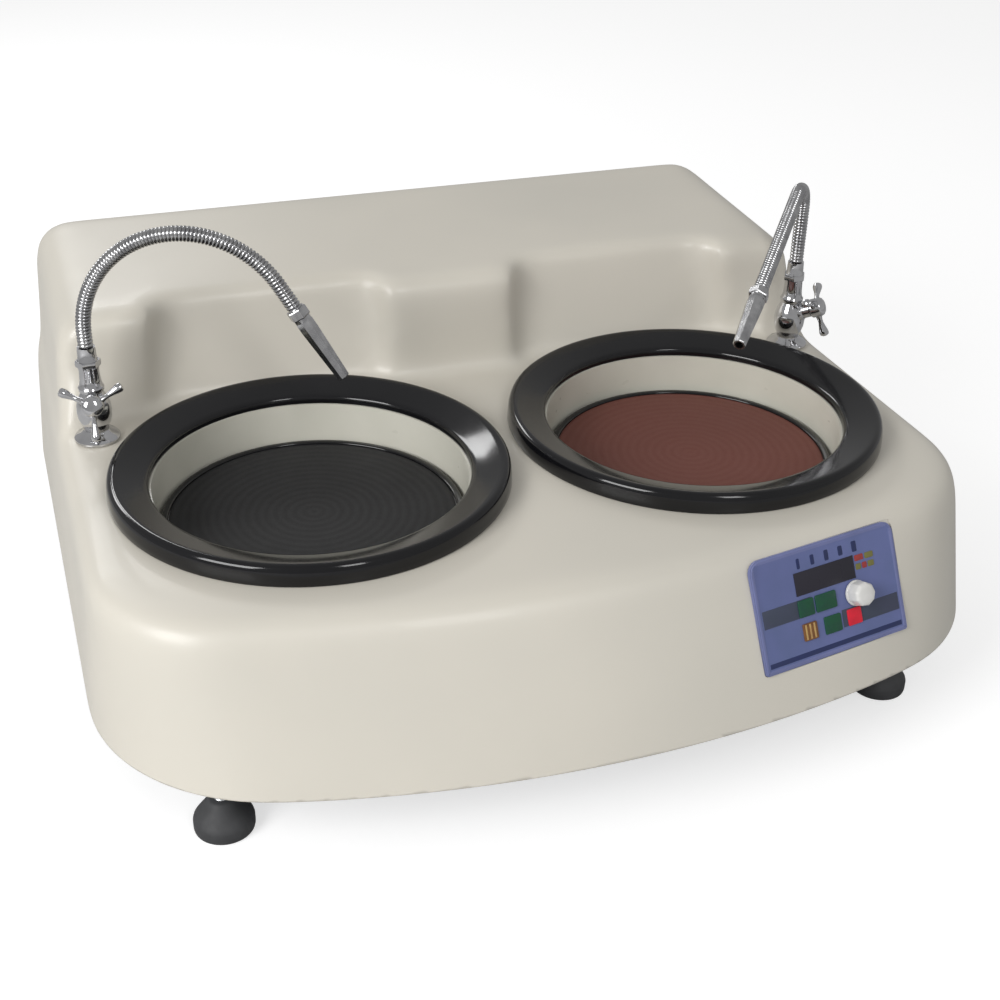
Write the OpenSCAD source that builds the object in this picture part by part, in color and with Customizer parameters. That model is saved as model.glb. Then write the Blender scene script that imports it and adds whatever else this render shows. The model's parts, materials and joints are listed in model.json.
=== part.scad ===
// Twin-disc bench grinding and polishing machine with two water taps.
// Origin: on the floor, under the middle of the case. +X right, +Y to the back, +Z up. Millimetres.

/* [Case] */
// Width of the case at its lower edge
case_w = 662; // [654:1:670]
// Depth of the case at its lower edge
case_d = 600; // [596:1:610]
// Height of the deck above the floor
deck_z = 175; // [172:1:180]
// Height of the case's lower edge above the floor
skirt_z = 69; // [66:1:72]
// Thickness of the moulded case wall
wall_t = 5; // [4:0.5:6]
// Height of the rear housing above the deck, at the back wall
ridge_h = 88; // [84:1:96]

/* [Discs and rings] */
// Distance between the two disc axes
disc_pitch = 303.6; // [302:0.2:306]
// Distance of the disc axes in front of the origin
disc_front = 53; // [51:1:55]
// Radius of the abrasive disc
paper_r = 105; // [100:1:106]
// Depth of the abrasive surface below the deck
disc_drop = 29; // [27:1:31]
// Outer radius of the splash ring
ring_r = 145; // [143:0.5:146]
// Height of the splash ring
ring_h = 15; // [13:0.5:16]

/* [Bowls] */
// Inner radius of the bowl
bowl_r = 114.2; // [114:0.1:115]
// Thickness of the bowl
bowl_t = 4; // [3:0.5:4]
// Depth of the bowl floor below the deck
bowl_deep = 60; // [58:1:61]

/* [Drive] */
// Radius of the disc spindles
spindle_r = 10; // [9:0.5:10]
// Pitch radius of the spindle pulleys
pulley_r = 50; // [46:1:52]
// Pitch radius of the motor pulley
motor_pulley_r = 25; // [22:1:28]
// Distance of the motor axis behind the origin
motor_back = 190; // [188:1:192]

/* [Taps] */
// Distance of each tap from the middle of the case
tap_x = 292; // [290:1:293]
// Distance of the taps behind the origin
tap_y = 54; // [50:1:56]
// Outer radius of the flexible spout
spout_r = 5.8; // [5:0.1:6]
// Turn of the left spout about its tap at rest
left_spout_turn = -22; // [-30:1:-15]
// Turn of the right spout about its tap at rest
right_spout_turn = 229.7; // [225:0.1:235]

/* [Control panel] */
// Width of the control panel
panel_w = 125; // [120:1:126]
// Height of the control panel
panel_h = 80; // [76:1:81]
// Travel of a key
key_travel = 0.6; // [0.4:0.1:1]

/* [Feet] */
// Radius of the rubber foot
foot_r = 21; // [20:1:25]
// Distance of the feet from the middle, across
foot_x = 255; // [250:1:258]
// Travel of a levelling foot
foot_travel = 12; // [8:1:14]

/* [Hidden] */
$fn = 64;

disc_x = disc_pitch / 2;
disc_y = -disc_front;
front_y = -case_d / 2;
back_y = case_d / 2;
paper_z = deck_z - disc_drop;
slab = 0.01;

// The case is lofted through outlines. Each one is
// [height, half width, front, front arc radius, front corner radius].
deck_half_w = case_w / 2 - 16;
deck_front_y = front_y + 58;
LEVELS = [
    [skirt_z, case_w / 2, front_y, 800, 150],
    [deck_z - 12, deck_half_w + 7, deck_front_y - 9, 1140, 97],
    [deck_z - 4, deck_half_w + 5, deck_front_y - 6, 1143, 96],
    [deck_z - 1, deck_half_w + 3, deck_front_y - 3, 1146, 95],
    [deck_z, deck_half_w, deck_front_y, 1150, 94]];
back_corner_r = 40;

// Rear housing above the deck
ridge_half_w = case_w / 2 - 20;
ridge_corner_r = 32;
ridge_edge_r = 14;
ridge_front_y = 86;
ridge_drop = 8;
ridge_top_z = deck_z + ridge_h;

// Scoop in the rear housing behind each ring
scoop_half_w = 104;
scoop_back_y = 97;
scoop_corner_r = 24;
scoop_lean = 14;

// Base and chassis
base_t = 6;
base_top_z = skirt_z + base_t;
chassis_z = 100;
chassis_t = 5;
chassis_top_z = chassis_z + chassis_t;
foot_front_y = -202;
foot_rear_y = 235;
stud_r = 6;
running_gap = 0.06;
chassis_half_w = 228;
chassis_front_y = -132;
chassis_back_y = 266;
boss_h = 22;
screw_spots = [[-250, 262], [250, 262], [-308, 20], [308, 20], [-215, -237], [215, -237], [0, -272]];
post_spots = [[-215, -118], [215, -118], [0, -110], [-160, 120], [160, 120], [-100, 255], [100, 255]];

// Belt planes
low_groove_z = 84;
high_groove_z = 94;
belt_w = 8;
belt_t = 6;
groove_gap = 0.4;
pulley_half_h = 5.4;

// Bowl
rim_r = 132;
rim_top_z = deck_z + 1;
bowl_floor_z = deck_z - bowl_deep;
hub_in_r = 27;
drain_dx = 38;
drain_dy = 80;

// Rear pan
pan_half_w = 210;
pan_low_z = 77;
pan_high_z = 205;
pan_depth = 30;
pan_rim = 14;
sheet_t = 2;
pan_floor_y = back_y - pan_depth;
pan_screw_spots = [for (sx = [-1, 1]) for (z = [88, 148, 208]) [sx * (pan_half_w + 7), z]];
drain_pipe_r = 9;
drain_pipe_z = 89;
inlet_x = 100;
supply_z = 140;
supply_y = back_y - 41;
mains_x = -110;
switch_x = -69.3;
electric_z = 175;

// Taps
tap_hub_z = deck_z + 36;
tap_hub_reach = 23;
collar_top_z = deck_z + 76;
left_tap_turn = -95;
right_tap_turn = -42;
tap_tilt = 24;
nozzle_l = 62;
spout_lap = 1;
inner_spout_r = spout_r - 0.3;

// Panel
panel_x = 165;
panel_y = -253;
panel_z = deck_z - 41;
panel_yaw = 10;
panel_tilt = 25;
fascia_t = 2.5;
panel_proud = 0.5;
box_depth = 30;
// Each key is [across, up, width, height]
KEY_UP = [-21.4, -1.8, 13.4, 12];
KEY_DOWN = [-4.2, -1.8, 18, 12];
KEY_MODE = [-21, -18.6, 12.2, 12.2];
KEY_START = [-1.2, -18.8, 14.6, 12.4];
KEY_STOP = [18, -18.6, 12.2, 11.6];
KNOB = [22, -2.8];
DISPLAY = [-1.5, 15.5];
display_w = 50;
display_h = 14;
rocker_tilt = 10;

// ---------------------------------------------------------------- helpers

function arc(c, r, a0, a1, n) =
    [for (k = [0:n]) let (a = a0 + (a1 - a0) * k / n) c + r * [cos(a), sin(a)]];

// Closed outline of the case: front arc, two large front corners, two small back corners
function outline(hw, fy, fr, cr, by, br) =
    let (cx = hw - cr,
         cy = fy + fr - sqrt(pow(fr - cr, 2) - cx * cx),
         a = atan2(cy - fy - fr, cx))
    concat(arc([cx, cy], cr, a, 0, 10), arc([hw - br, by - br], br, 0, 90, 5),
           arc([br - hw, by - br], br, 90, 180, 5), arc([-cx, cy], cr, 180, 180 - a, 10),
           arc([0, fy + fr], fr, -180 - a, a, 12));

function level_outline(l, inset) =
    outline(l[1] - inset, l[2] + inset, l[3] - inset, l[4] - inset, back_y - inset, back_corner_r - inset);

module at_disc(side) translate([side * disc_x, disc_y, 0]) children();

module at_panel() translate([panel_x, panel_y, panel_z])
    rotate([0, 0, panel_yaw]) rotate([-panel_tilt, 0, 0]) children();

// A plate in the panel's plane: front face at y = -front, thickness going back
module panel_plate(at, w, h, front, t) translate([at[0] - w / 2, -front, at[1] - h / 2]) cube([w, t, h]);

// A tube standing on z
module tube(r_out, r_in, z0, z1) translate([0, 0, z0]) difference() {
    cylinder(r = r_out, h = z1 - z0);
    translate([0, 0, -1]) cylinder(r = r_in, h = z1 - z0 + 2);
}

module along_y(r, y0, y1) translate([0, y0, 0]) rotate([-90, 0, 0]) cylinder(r = r, h = y1 - y0);

module tap_frame(side, turn) translate([side * tap_x, tap_y, 0]) rotate([0, 0, turn]) children();

// ---------------------------------------------------------------- case

module lower_form(inset) hull() for (l = LEVELS)
    translate([0, 0, l[0] - (inset > 0 ? inset + slab : slab)])
        linear_extrude(slab) polygon(level_outline(l, inset));

// Rear housing: rounded long edges and large end corners
module ridge_form(inset) {
    r = ridge_edge_r - inset;
    reach = ridge_corner_r - ridge_edge_r;
    hull() {
        for (side = [-1, 1])
            for (a = [0:30:90])
                for (end = [0, 1])
                    translate([side * (ridge_half_w - ridge_corner_r + reach * cos(a)),
                               end == 0 ? ridge_front_y + ridge_edge_r + 4 : back_y - ridge_edge_r,
                               ridge_top_z - (end == 0 ? ridge_drop : 0) - ridge_corner_r + reach * sin(a)])
                        sphere(r = r, $fn = 24);
        translate([-case_w / 2 + 11 + inset, ridge_front_y - 3 + inset, deck_z - 30])
            cube([case_w - 22 - 2 * inset, 60, 20]);
        translate([0, 0, deck_z - 30]) linear_extrude(20) intersection() {
            polygon(level_outline(LEVELS[1], inset));
            translate([-case_w, ridge_front_y + 50]) square([2 * case_w, case_d]);
        }
    }
}

// Scoop that clears a splash ring, grown for the inside of the wall
module scoop(side, grow) intersection() {
    translate([side * disc_x, scoop_back_y + grow, deck_z])
        rotate([-scoop_lean, 0, 0])
            translate([0, 0, -20])
                linear_extrude(160) {
                    hw = scoop_half_w + grow;
                    for (s = [-1, 1])
                        translate([s * (hw - scoop_corner_r), -scoop_corner_r]) circle(r = scoop_corner_r);
                    translate([scoop_corner_r - hw, -90]) square([2 * (hw - scoop_corner_r), 90]);
                    translate([-hw, -90]) square([2 * hw, 90 - scoop_corner_r]);
                }
    translate([-case_w, -case_d, deck_z - grow]) cube([2 * case_w, 2 * case_d, 200]);
}

module case_shell() color("linen") difference() {
    union() {
        difference() {
            union() {
                lower_form(0);
                ridge_form(0);
            }
            for (side = [-1, 1]) scoop(side, 0);
            difference() {
                union() {
                    lower_form(wall_t);
                    ridge_form(wall_t);
                }
                for (side = [-1, 1]) scoop(side, wall_t);
            }
            // open underside
            translate([0, 0, skirt_z - 20]) linear_extrude(21) polygon(level_outline(LEVELS[0], wall_t));
            translate([0, 0, skirt_z - 1])
                linear_extrude(base_t + 1.2) polygon(level_outline(LEVELS[0], wall_t + 0.5));
        }
        // screw bosses, each with a rib to the wall
        intersection() {
            lower_form(0.5);
            for (p = screw_spots) translate([p[0], p[1], base_top_z + 0.7]) {
                cylinder(r = 9, h = boss_h);
                rotate([0, 0, atan2(p[1], p[0])]) translate([0, -6, 0.5]) cube([45, 12, boss_h - 2]);
            }
        }
    }
    for (p = screw_spots) translate([p[0], p[1], base_top_z - 1]) cylinder(r = 2.6, h = 18);
    for (p = pan_screw_spots) translate([p[0], 0, p[1]]) along_y(2.1, back_y - 20, back_y + 1);
    // bowl openings
    for (side = [-1, 1])
        at_disc(side) translate([0, 0, deck_z - 30]) cylinder(r = bowl_r + bowl_t + 1.5, h = 60);
    // tap holes
    for (side = [-1, 1]) translate([side * tap_x, tap_y, deck_z - 30]) cylinder(r = 8.2, h = 60);
    // panel land and panel opening
    at_panel() panel_plate([0, 0], panel_w + 1, panel_h + 1, 20, 22);
    at_panel() panel_plate([0, 0], panel_w - 16, panel_h - 14, 20, 60);
    // rear pan opening and the rebate for its rim
    translate([-pan_half_w - 0.5, back_y - 40, pan_low_z - 0.5])
        cube([2 * pan_half_w + 1, 60, pan_high_z - pan_low_z + 1]);
    translate([-pan_half_w - pan_rim - 0.5, back_y - sheet_t, pan_low_z - 6])
        cube([2 * (pan_half_w + pan_rim) + 1, 10, pan_high_z - pan_low_z + 20]);
}

module base_plate() color("dimgray") difference() {
    translate([0, 0, skirt_z]) linear_extrude(base_t) polygon(level_outline(LEVELS[0], wall_t + 1));
    for (p = screw_spots) translate([p[0], p[1], skirt_z - 1]) cylinder(r = 3.4, h = base_t + 2);
    for (p = post_spots) translate([p[0], p[1], skirt_z - 1]) cylinder(r = 4.3, h = base_t + 2);
    for (sx = [-1, 1]) for (y = [foot_front_y, foot_rear_y])
        translate([sx * foot_x, y, skirt_z - 1]) cylinder(r = stud_r + running_gap, h = base_t + 2);
    // ventilation slots under the motor
    for (k = [-3:3]) translate([k * 16 - 4, motor_back - 30, skirt_z - 1]) cube([8, 60, base_t + 2]);
}

// Screws of the base plate and of the rear pan
module case_screws() color("silver") {
    for (p = screw_spots) translate([p[0], p[1], 0]) {
        translate([0, 0, skirt_z - 4]) cylinder(r = 5.5, h = 4);
        translate([0, 0, skirt_z - 1]) cylinder(r = 2.5, h = 20);
    }
    for (p = pan_screw_spots) translate([p[0], 0, p[1]]) along_y(2, back_y - 12, back_y - 0.1);
}

module chassis_plate() color("gray") difference() {
    translate([-chassis_half_w, chassis_front_y, chassis_z])
        cube([2 * chassis_half_w, chassis_back_y - chassis_front_y, chassis_t]);
    for (side = [-1, 1]) at_disc(side) translate([0, 0, chassis_z - 1]) cylinder(r = 21, h = chassis_t + 2);
    for (side = [-1, 1])
        at_disc(side) translate([side * drain_dx, drain_dy, chassis_z - 1])
            cylinder(r = 18, h = chassis_t + 2);
    translate([0, motor_back, chassis_z - 1]) cylinder(r = 34, h = chassis_t + 2);
    for (p = post_spots) translate([p[0], p[1], chassis_z - 1]) cylinder(r = 4.3, h = chassis_t + 2);
}

// Spacer posts with a stud through both plates and a nut at each end
module chassis_posts() color("silver") for (p = post_spots) translate([p[0], p[1], 0]) {
    translate([0, 0, base_top_z]) cylinder(r = 8, h = chassis_z - base_top_z);
    translate([0, 0, skirt_z - 4]) cylinder(r = 4, h = chassis_top_z + 6 - skirt_z + 4);
    translate([0, 0, chassis_top_z]) cylinder(r = 7.5, h = 4, $fn = 6);
    translate([0, 0, skirt_z - 4]) cylinder(r = 7.5, h = 4, $fn = 6);
}

// Folded sheet pan that closes the back and carries the connections
module rear_pan() color("lightgray") difference() {
    union() {
        translate([-pan_half_w - pan_rim, back_y - sheet_t, pan_low_z - 5])
            cube([2 * (pan_half_w + pan_rim), sheet_t, pan_high_z - pan_low_z + 18]);
        translate([-pan_half_w, pan_floor_y, pan_low_z])
            cube([2 * pan_half_w, pan_depth, pan_high_z - pan_low_z]);
    }
    translate([-pan_half_w + sheet_t, pan_floor_y + sheet_t, pan_low_z + sheet_t])
        cube([2 * (pan_half_w - sheet_t), pan_depth + 1, pan_high_z - pan_low_z - 2 * sheet_t]);
    for (side = [-1, 1])
        translate([side * (disc_x + drain_dx), 0, drain_pipe_z])
            along_y(drain_pipe_r + 0.4, pan_floor_y - 1, back_y);
    translate([inlet_x, 0, supply_z]) along_y(9.4, pan_floor_y - 1, back_y);
    translate([mains_x - 14.2, pan_floor_y - 1, electric_z - 10.4]) cube([28.4, 5, 20.8]);
    translate([switch_x - 6.7, pan_floor_y - 1, electric_z - 10.2]) cube([13.4, 5, 20.4]);
    // cooling louvres
    for (k = [0:6]) translate([-40, pan_floor_y - 1, 158 + k * 6]) cube([120, 5, 2.5]);
    for (p = pan_screw_spots) translate([p[0], 0, p[1]]) along_y(2.2, back_y - 5, back_y + 1);
}

// ---------------------------------------------------------------- bowls and rings

module bowl(side) color("linen") difference() {
    union() {
        at_disc(side) rotate_extrude() polygon([
            [hub_in_r, bowl_floor_z - bowl_t], [bowl_r + bowl_t, bowl_floor_z - bowl_t],
            [bowl_r + bowl_t, deck_z + 0.05], [rim_r, deck_z + 0.05], [rim_r, rim_top_z + 0.6],
            [bowl_r, rim_top_z + 0.6], [bowl_r, bowl_floor_z], [hub_in_r + 3, bowl_floor_z + 3],
            [hub_in_r + 3, paper_z - 15], [hub_in_r, paper_z - 15]]);
        at_disc(side) translate([side * drain_dx, drain_dy, bowl_floor_z - 15]) cylinder(r = 9.5, h = 14);
    }
    at_disc(side) translate([side * drain_dx, drain_dy, bowl_floor_z - 20]) cylinder(r = 7.5, h = 40);
}

module left_bowl() bowl(-1);
module right_bowl() bowl(1);

// Splash ring: a rounded band, hollow underneath, that sits over the bowl's rim
module ring(side) color("black") at_disc(side) translate([0, 0, deck_z + 0.3]) rotate_extrude() difference() {
    union() {
        polygon([[bowl_r + 1.2, 1.6], [bowl_r + 2.8, 7.4], [ring_r - 6, ring_h - 0.3], [ring_r - 6, 1.6]]);
        translate([ring_r - 6.4, 0]) square([6.4, ring_h - 6.4]);
        translate([ring_r - 6.4, ring_h - 6.7]) circle(r = 6.4);
    }
    polygon([[bowl_r + 8, -1], [bowl_r + 9, 5], [ring_r - 8, 9.6], [ring_r - 4.5, 8], [ring_r - 4.5, -1]]);
}

module left_ring() ring(-1);
module right_ring() ring(1);

// ---------------------------------------------------------------- rotating discs

module platen(side) color("silver") at_disc(side) rotate_extrude()
    polygon([[0, paper_z - 11], [hub_in_r - 1, paper_z - 11], [hub_in_r + 8, paper_z - 9],
             [hub_in_r + 8, paper_z - 19], [hub_in_r + 11, paper_z - 19], [hub_in_r + 11, paper_z - 9],
             [paper_r - 1, paper_z - 9], [paper_r - 1, paper_z - 12], [paper_r + 2, paper_z - 12],
             [paper_r + 2, paper_z - 1], [0, paper_z - 1]]);

module left_platen() platen(-1);
module right_platen() platen(1);

module paper(side) at_disc(side) translate([0, 0, paper_z - 1]) cylinder(r = paper_r, h = 1);

module left_paper() color([0.2, 0.2, 0.21]) paper(-1);
module right_paper() color("sienna") paper(1);

// Clamp hoop round the edge of the platen
module hoop(side) color("black") at_disc(side) rotate_extrude()
    polygon([[paper_r + 2.05, paper_z - 8], [paper_r + 6, paper_z - 8], [paper_r + 6, paper_z + 0.2],
             [paper_r + 5, paper_z + 1.2], [paper_r + 0.3, paper_z + 1.2], [paper_r + 0.3, paper_z - 0.95],
             [paper_r + 2.05, paper_z - 0.95]]);

module left_hoop() hoop(-1);
module right_hoop() hoop(1);

module spindle(side) color("silver") at_disc(side) rotate_extrude()
    polygon([[0, 77], [spindle_r - 2, 77], [spindle_r - 2, chassis_z], [spindle_r, chassis_z],
             [spindle_r, paper_z - 17], [hub_in_r - 5, paper_z - 17], [hub_in_r - 5, paper_z - 11],
             [0, paper_z - 11]]);

module left_spindle() spindle(-1);
module right_spindle() spindle(1);

// Grooved pulley: rim to rim, with one groove for each height in grooves
module grooved_pulley(r, bore, z0, z1, grooves) rotate_extrude() difference() {
    translate([bore, z0]) square([r + 5 - bore, z1 - z0]);
    for (z = grooves)
        translate([r - belt_t / 2 - groove_gap, z - belt_w / 2 - groove_gap])
            square([20, belt_w + 2 * groove_gap]);
}

module spindle_pulley(side, z) color("gray") at_disc(side)
    grooved_pulley(pulley_r, spindle_r - 2, z - pulley_half_h, z + pulley_half_h, [z]);

module left_pulley() spindle_pulley(-1, low_groove_z);
module right_pulley() spindle_pulley(1, high_groove_z);

module bearing_housing(side) color("gray") at_disc(side) difference() {
    union() {
        translate([0, 0, chassis_top_z]) cylinder(r = 44, h = 5);
        translate([0, 0, chassis_z]) cylinder(r = 20.5, h = chassis_t + 1);
        translate([0, 0, chassis_top_z + 1]) cylinder(r = 25, h = paper_z - 19 - chassis_top_z);
    }
    translate([0, 0, chassis_z - 1]) cylinder(r = 12, h = 60);
    translate([0, 0, chassis_z - 1]) cylinder(r = 17, h = 10);
    translate([0, 0, paper_z - 27]) cylinder(r = 17, h = 20);
    for (k = [0:3]) rotate([0, 0, 45 + 90 * k])
        translate([35, 0, chassis_top_z - 1]) cylinder(r = 3.3, h = 10);
}

module left_bearing_housing() bearing_housing(-1);
module right_bearing_housing() bearing_housing(1);

// Two ball bearings in each housing
module bearings(side) color("silver") at_disc(side) {
    tube(17, spindle_r + running_gap, chassis_z, chassis_z + 9);
    tube(17, spindle_r + running_gap, paper_z - 27, paper_z - 18);
}

module left_bearings() bearings(-1);
module right_bearings() bearings(1);

// Loop round a big and a small circle, touching both
function loop(r_big, r_small, span, wrap) =
    concat(arc([0, 0], r_big, wrap, 360 - wrap, 32), arc([span, 0], r_small, -wrap, wrap, 16));

// Closed belt round a spindle pulley and the motor pulley
module belt(side, z) color([0.1, 0.1, 0.1]) {
    to_motor = [-side * disc_x, motor_back - disc_y];
    span = norm(to_motor);
    wrap = acos((pulley_r - motor_pulley_r) / span);
    half_t = belt_t / 2;
    at_disc(side) rotate([0, 0, atan2(to_motor[1], to_motor[0])]) translate([0, 0, z - belt_w / 2])
        linear_extrude(belt_w) difference() {
            polygon(loop(pulley_r + half_t, motor_pulley_r + half_t, span, wrap));
            polygon(loop(pulley_r - half_t, motor_pulley_r - half_t, span, wrap));
        }
}

module left_belt() belt(-1, low_groove_z);
module right_belt() belt(1, high_groove_z);

// ---------------------------------------------------------------- motor

module motor() color("slategray") translate([0, motor_back, 0]) difference() {
    union() {
        translate([0, 0, chassis_top_z]) cylinder(r = 55, h = 8);
        translate([0, 0, chassis_top_z + 1]) cylinder(r = 48, h = 124);
        for (k = [0:23]) rotate([0, 0, k * 15]) translate([46, -1.2, chassis_top_z + 14]) cube([10, 2.4, 82]);
        translate([0, 0, chassis_top_z + 104]) cylinder(r = 57, h = 26);
    }
    translate([0, 0, chassis_top_z - 1]) cylinder(r = 11 + running_gap, h = 90);
    for (k = [0:3]) rotate([0, 0, 45 + 90 * k])
        translate([44, 0, chassis_top_z - 1]) cylinder(r = 3.4, h = 8);
}

module motor_terminal_box() color("dimgray")
    translate([57, motor_back - 28, chassis_top_z + 30]) cube([26, 56, 50]);

module motor_shaft() color("silver") translate([0, motor_back, 0]) {
    translate([0, 0, 77]) cylinder(r = 8, h = 28);
    translate([0, 0, chassis_z + 1]) cylinder(r = 11, h = 80);
}

module motor_pulley() color("gray") translate([0, motor_back, 0])
    grooved_pulley(motor_pulley_r, 8, low_groove_z - pulley_half_h, high_groove_z + pulley_half_h,
        [low_groove_z, high_groove_z]);

module inverter() color("dimgray") {
    translate([-205, 150, chassis_top_z]) cube([95, 70, 125]);
    for (k = [0:7]) translate([-200 + k * 12, 146, chassis_top_z + 10]) cube([3, 5, 105]);
}

// ---------------------------------------------------------------- water

module drain_pipe(side) color("whitesmoke") {
    socket_top = bowl_floor_z - bowl_t - 0.5;
    difference() {
        union() {
            at_disc(side) translate([side * drain_dx, drain_dy, drain_pipe_z - 11.5])
                cylinder(r = 12.5, h = socket_top - drain_pipe_z + 11.5);
            translate([side * (disc_x + drain_dx), 0, drain_pipe_z])
                along_y(drain_pipe_r, disc_y + drain_dy, back_y - 4);
        }
        translate([side * (disc_x + drain_dx), 0, drain_pipe_z])
            along_y(drain_pipe_r - 2, disc_y + drain_dy, back_y);
        at_disc(side) translate([side * drain_dx, drain_dy, drain_pipe_z - 7]) cylinder(r = 9.7, h = 40);
    }
}

module left_drain_pipe() drain_pipe(-1);
module right_drain_pipe() drain_pipe(1);

// Supply pipes from the rear inlet to the tail of each tap
module water_pipes() color("peru") {
    for (side = [-1, 1]) {
        translate([side * tap_x, tap_y, supply_z]) cylinder(r = 5, h = 5.8);
        translate([side * tap_x, 0, supply_z]) along_y(5, tap_y, supply_y);
        for (y = [tap_y, supply_y]) translate([side * tap_x, y, supply_z]) sphere(r = 5);
    }
    translate([-tap_x, supply_y, supply_z]) rotate([0, 90, 0]) cylinder(r = 5, h = 2 * tap_x);
    translate([inlet_x, 0, supply_z]) along_y(7, supply_y, back_y - 6);
    translate([inlet_x, 0, supply_z]) along_y(9, supply_y - 3, pan_floor_y + sheet_t + 1);
}

// ---------------------------------------------------------------- taps and spouts

// Plain tap: round foot, bulb body, side bonnet and a tapered collar
module tap(side, turn) color("silver") {
    tap_frame(side, turn) {
        rotate_extrude() polygon(concat([[0, deck_z], [17, deck_z], [17, deck_z + 4], [13, deck_z + 6]],
            [for (a = [-40:10:70]) [12.5 * cos(a) + 0.5, deck_z + 24 + 16 * sin(a)]],
            [[7.6, deck_z + 50], [7, collar_top_z - 0.3], [0, collar_top_z - 0.3]]));
        translate([0, 0, tap_hub_z - 8]) rotate([0, 90 - tap_tilt, 0])
            cylinder(r = 6.5, h = tap_hub_reach - 4);
    }
    translate([side * tap_x, tap_y, 146]) cylinder(r = 8, h = deck_z - 146 + 1);
}

module left_tap() tap(-1, left_tap_turn);
module right_tap() tap(1, right_tap_turn);

// Three-armed handle on the bonnet
module tap_handle(side, turn) color("silver") tap_frame(side, turn)
    translate([0, 0, tap_hub_z - 8]) rotate([0, 90 - tap_tilt, 0]) {
    translate([0, 0, tap_hub_reach - 3.7]) cylinder(r = 8, h = 9);
    translate([0, 0, tap_hub_reach + 5.3]) cylinder(r1 = 8, r2 = 5, h = 3);
    for (k = [0:2]) rotate([0, 0, 120 * k]) {
        translate([5, 0, tap_hub_reach + 0.8]) rotate([0, 90, 0]) cylinder(r1 = 2.6, r2 = 2.2, h = 17);
        translate([22, 0, tap_hub_reach + 0.8]) sphere(r = 4);
    }
}

module left_tap_handle() tap_handle(-1, left_tap_turn);
module right_tap_handle() tap_handle(1, right_tap_turn);

// A bend of the spout: zero degrees is at the current origin going up, and it turns towards +X
module spout_bend(r, from, to, tube_r) translate([r, 0, 0]) rotate([90, 0, 0])
    rotate([0, 0, 180 - to]) rotate_extrude(angle = to - from) translate([r, 0]) circle(r = tube_r, $fn = 32);

// Left spout: two wide bends over the disc and a short straight run down
module left_spout_route(nozzle) tap_frame(-1, left_spout_turn) translate([0, 0, collar_top_z]) {
    rise = 10;
    near_r = 79;
    far_r = 78;
    dip = 58;
    run = 20;
    if (!nozzle) {
        cylinder(r = spout_r, h = rise + spout_lap);
        translate([0, 0, rise]) spout_bend(near_r, 0, 90, inner_spout_r);
        translate([near_r, 0, rise + near_r]) rotate([0, 90, 0]) spout_bend(far_r, -1, dip, spout_r);
    }
    translate([near_r + far_r * sin(dip), 0, rise + near_r - far_r * (1 - cos(dip))])
        rotate([0, 90 + dip, 0]) {
        if (!nozzle) translate([0, 0, -spout_lap]) cylinder(r = inner_spout_r, h = run + spout_lap);
        if (nozzle) translate([0, 0, run]) nozzle_form();
    }
}

// Right spout: a tight bend at the top and a long straight run back down
module right_spout_route(nozzle) tap_frame(1, right_spout_turn) translate([0, 0, collar_top_z]) {
    rise = 43;
    bend_r = 26;
    turn = 108;
    run = 123;
    if (!nozzle) {
        cylinder(r = spout_r, h = rise + spout_lap);
        translate([0, 0, rise]) spout_bend(bend_r, 0, turn, inner_spout_r);
    }
    translate([bend_r - bend_r * cos(turn), 0, rise + bend_r * sin(turn)]) rotate([0, turn, 0]) {
        if (!nozzle) translate([0, 0, -spout_lap]) cylinder(r = spout_r, h = run + spout_lap);
        if (nozzle) translate([0, 0, run]) nozzle_form();
    }
}

// Hexagonal ferrule and tapered jet
module nozzle_form() difference() {
    union() {
        translate([0, 0, 0.2]) cylinder(r = 8, h = 7.8, $fn = 6);
        translate([0, 0, 7]) cylinder(r = 6.9, h = 12);
        translate([0, 0, 18]) cylinder(r1 = 6.9, r2 = 5, h = nozzle_l - 18);
    }
    translate([0, 0, 10]) cylinder(r = 3.2, h = nozzle_l);
}

module left_spout() color("silver") left_spout_route(false);
module right_spout() color("silver") right_spout_route(false);
module left_nozzle() color("gray") left_spout_route(true);
module right_nozzle() color("gray") right_spout_route(true);

module tap_nuts() color("silver") for (side = [-1, 1]) translate([side * tap_x, tap_y, 0])
    tube(14, 8.05, deck_z - wall_t - 8, deck_z - wall_t - 1);

// ---------------------------------------------------------------- control panel

module panel_fascia() color("slateblue") at_panel() difference() {
    panel_plate([0, 0], panel_w, panel_h, panel_proud, fascia_t);
    for (k = [KEY_UP, KEY_DOWN, KEY_MODE, KEY_START, KEY_STOP])
        panel_plate(k, k[2] + 0.8, k[3] + 0.8, 10, 20);
    panel_plate(DISPLAY, display_w + 0.4, display_h + 0.4, 10, 20);
    translate([KNOB[0], -10, KNOB[1]]) rotate([-90, 0, 0]) cylinder(r = 3.3, h = 20);
}

// Enclosure behind the fascia with its circuit board
module panel_box() color("dimgray") at_panel() {
    difference() {
        panel_plate([0, 0], panel_w - 18, panel_h - 16, panel_proud - fascia_t - 0.1, box_depth);
        panel_plate([0, 0], panel_w - 22, panel_h - 20, 3, box_depth);
    }
    panel_plate([0, 0], panel_w - 21, panel_h - 19, -11, 1.6);
    // potentiometer under the knob
    translate([KNOB[0], 4, KNOB[1]]) rotate([-90, 0, 0]) cylinder(r = 8, h = 8);
}

module display_window() color([0.15, 0.15, 0.17]) at_panel()
    panel_plate(DISPLAY, display_w, display_h, panel_proud, 2);

module speed_knob() color("white") at_panel() translate([KNOB[0], 0, KNOB[1]]) rotate([90, 0, 0]) {
    translate([0, 0, -3.6]) cylinder(r = 3.2, h = 6);
    translate([0, 0, 1]) cylinder(r1 = 9.2, r2 = 8.2, h = 11);
    translate([0, 0, 12]) cylinder(r1 = 8.2, r2 = 6.8, h = 1.4);
}

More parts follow.
